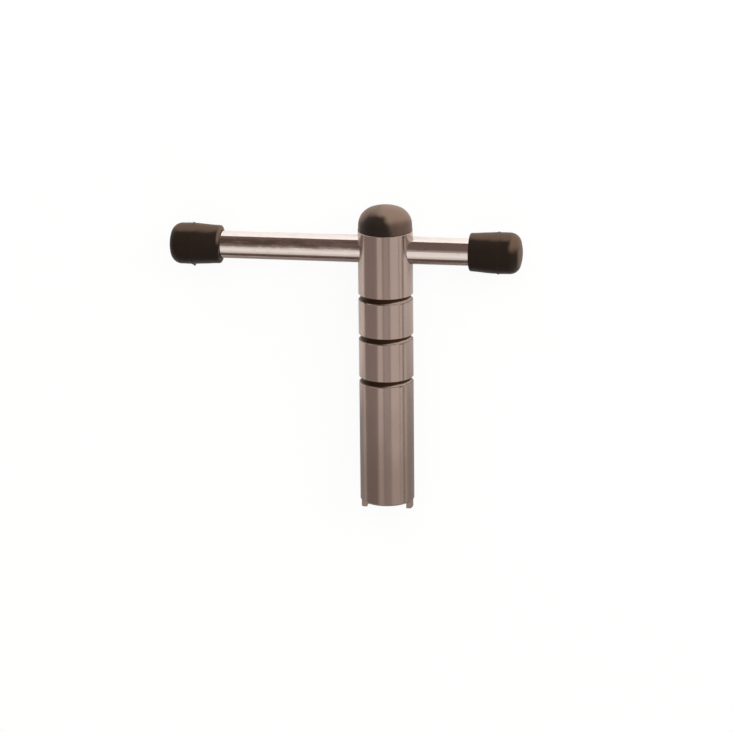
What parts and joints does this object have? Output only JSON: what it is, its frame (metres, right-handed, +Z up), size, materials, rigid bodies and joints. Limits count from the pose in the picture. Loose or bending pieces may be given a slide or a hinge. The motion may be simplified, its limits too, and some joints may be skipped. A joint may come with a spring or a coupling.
{
  "type": "chainring nut wrench",
  "caption": "Small T-handled wrench with a lugged, bored tip on a grooved round steel body, a dome cap on its head and a sliding cross bar with moulded end caps.",
  "frame": {"origin": "on the body's axis in the tip face that the two lugs stand on, at the mouth of the blind bore", "axes": "+Y along the body from the tip to the dome, +X along the cross bar towards its short side at rest, +Z up from the surface that the wrench lies on, 6 mm under the axis"},
  "size_m": [0.078, 0.0688, 0.012],
  "materials": {
    "body_steel": "turned and polished, plated",
    "bar_steel": "bright polished, plated",
    "dome_rubber": "moulded, satin sheen",
    "cap_rubber": "moulded, matt with a soft sheen"
  },
  "bodies": {
    "wrench_body": {"body": "body_steel", "top_cap": "dome_rubber"},
    "sliding_bar": {"tommy_bar": "bar_steel", "bar_cap_left": "cap_rubber", "bar_cap_right": "cap_rubber"}
  },
  "joints": [
    {"name": "bar_slide", "type": "slide", "parent": "wrench_body", "child": "sliding_bar", "axis": [1, 0, 0], "range_m": [-0.0124, 0.0302]}
  ]
}
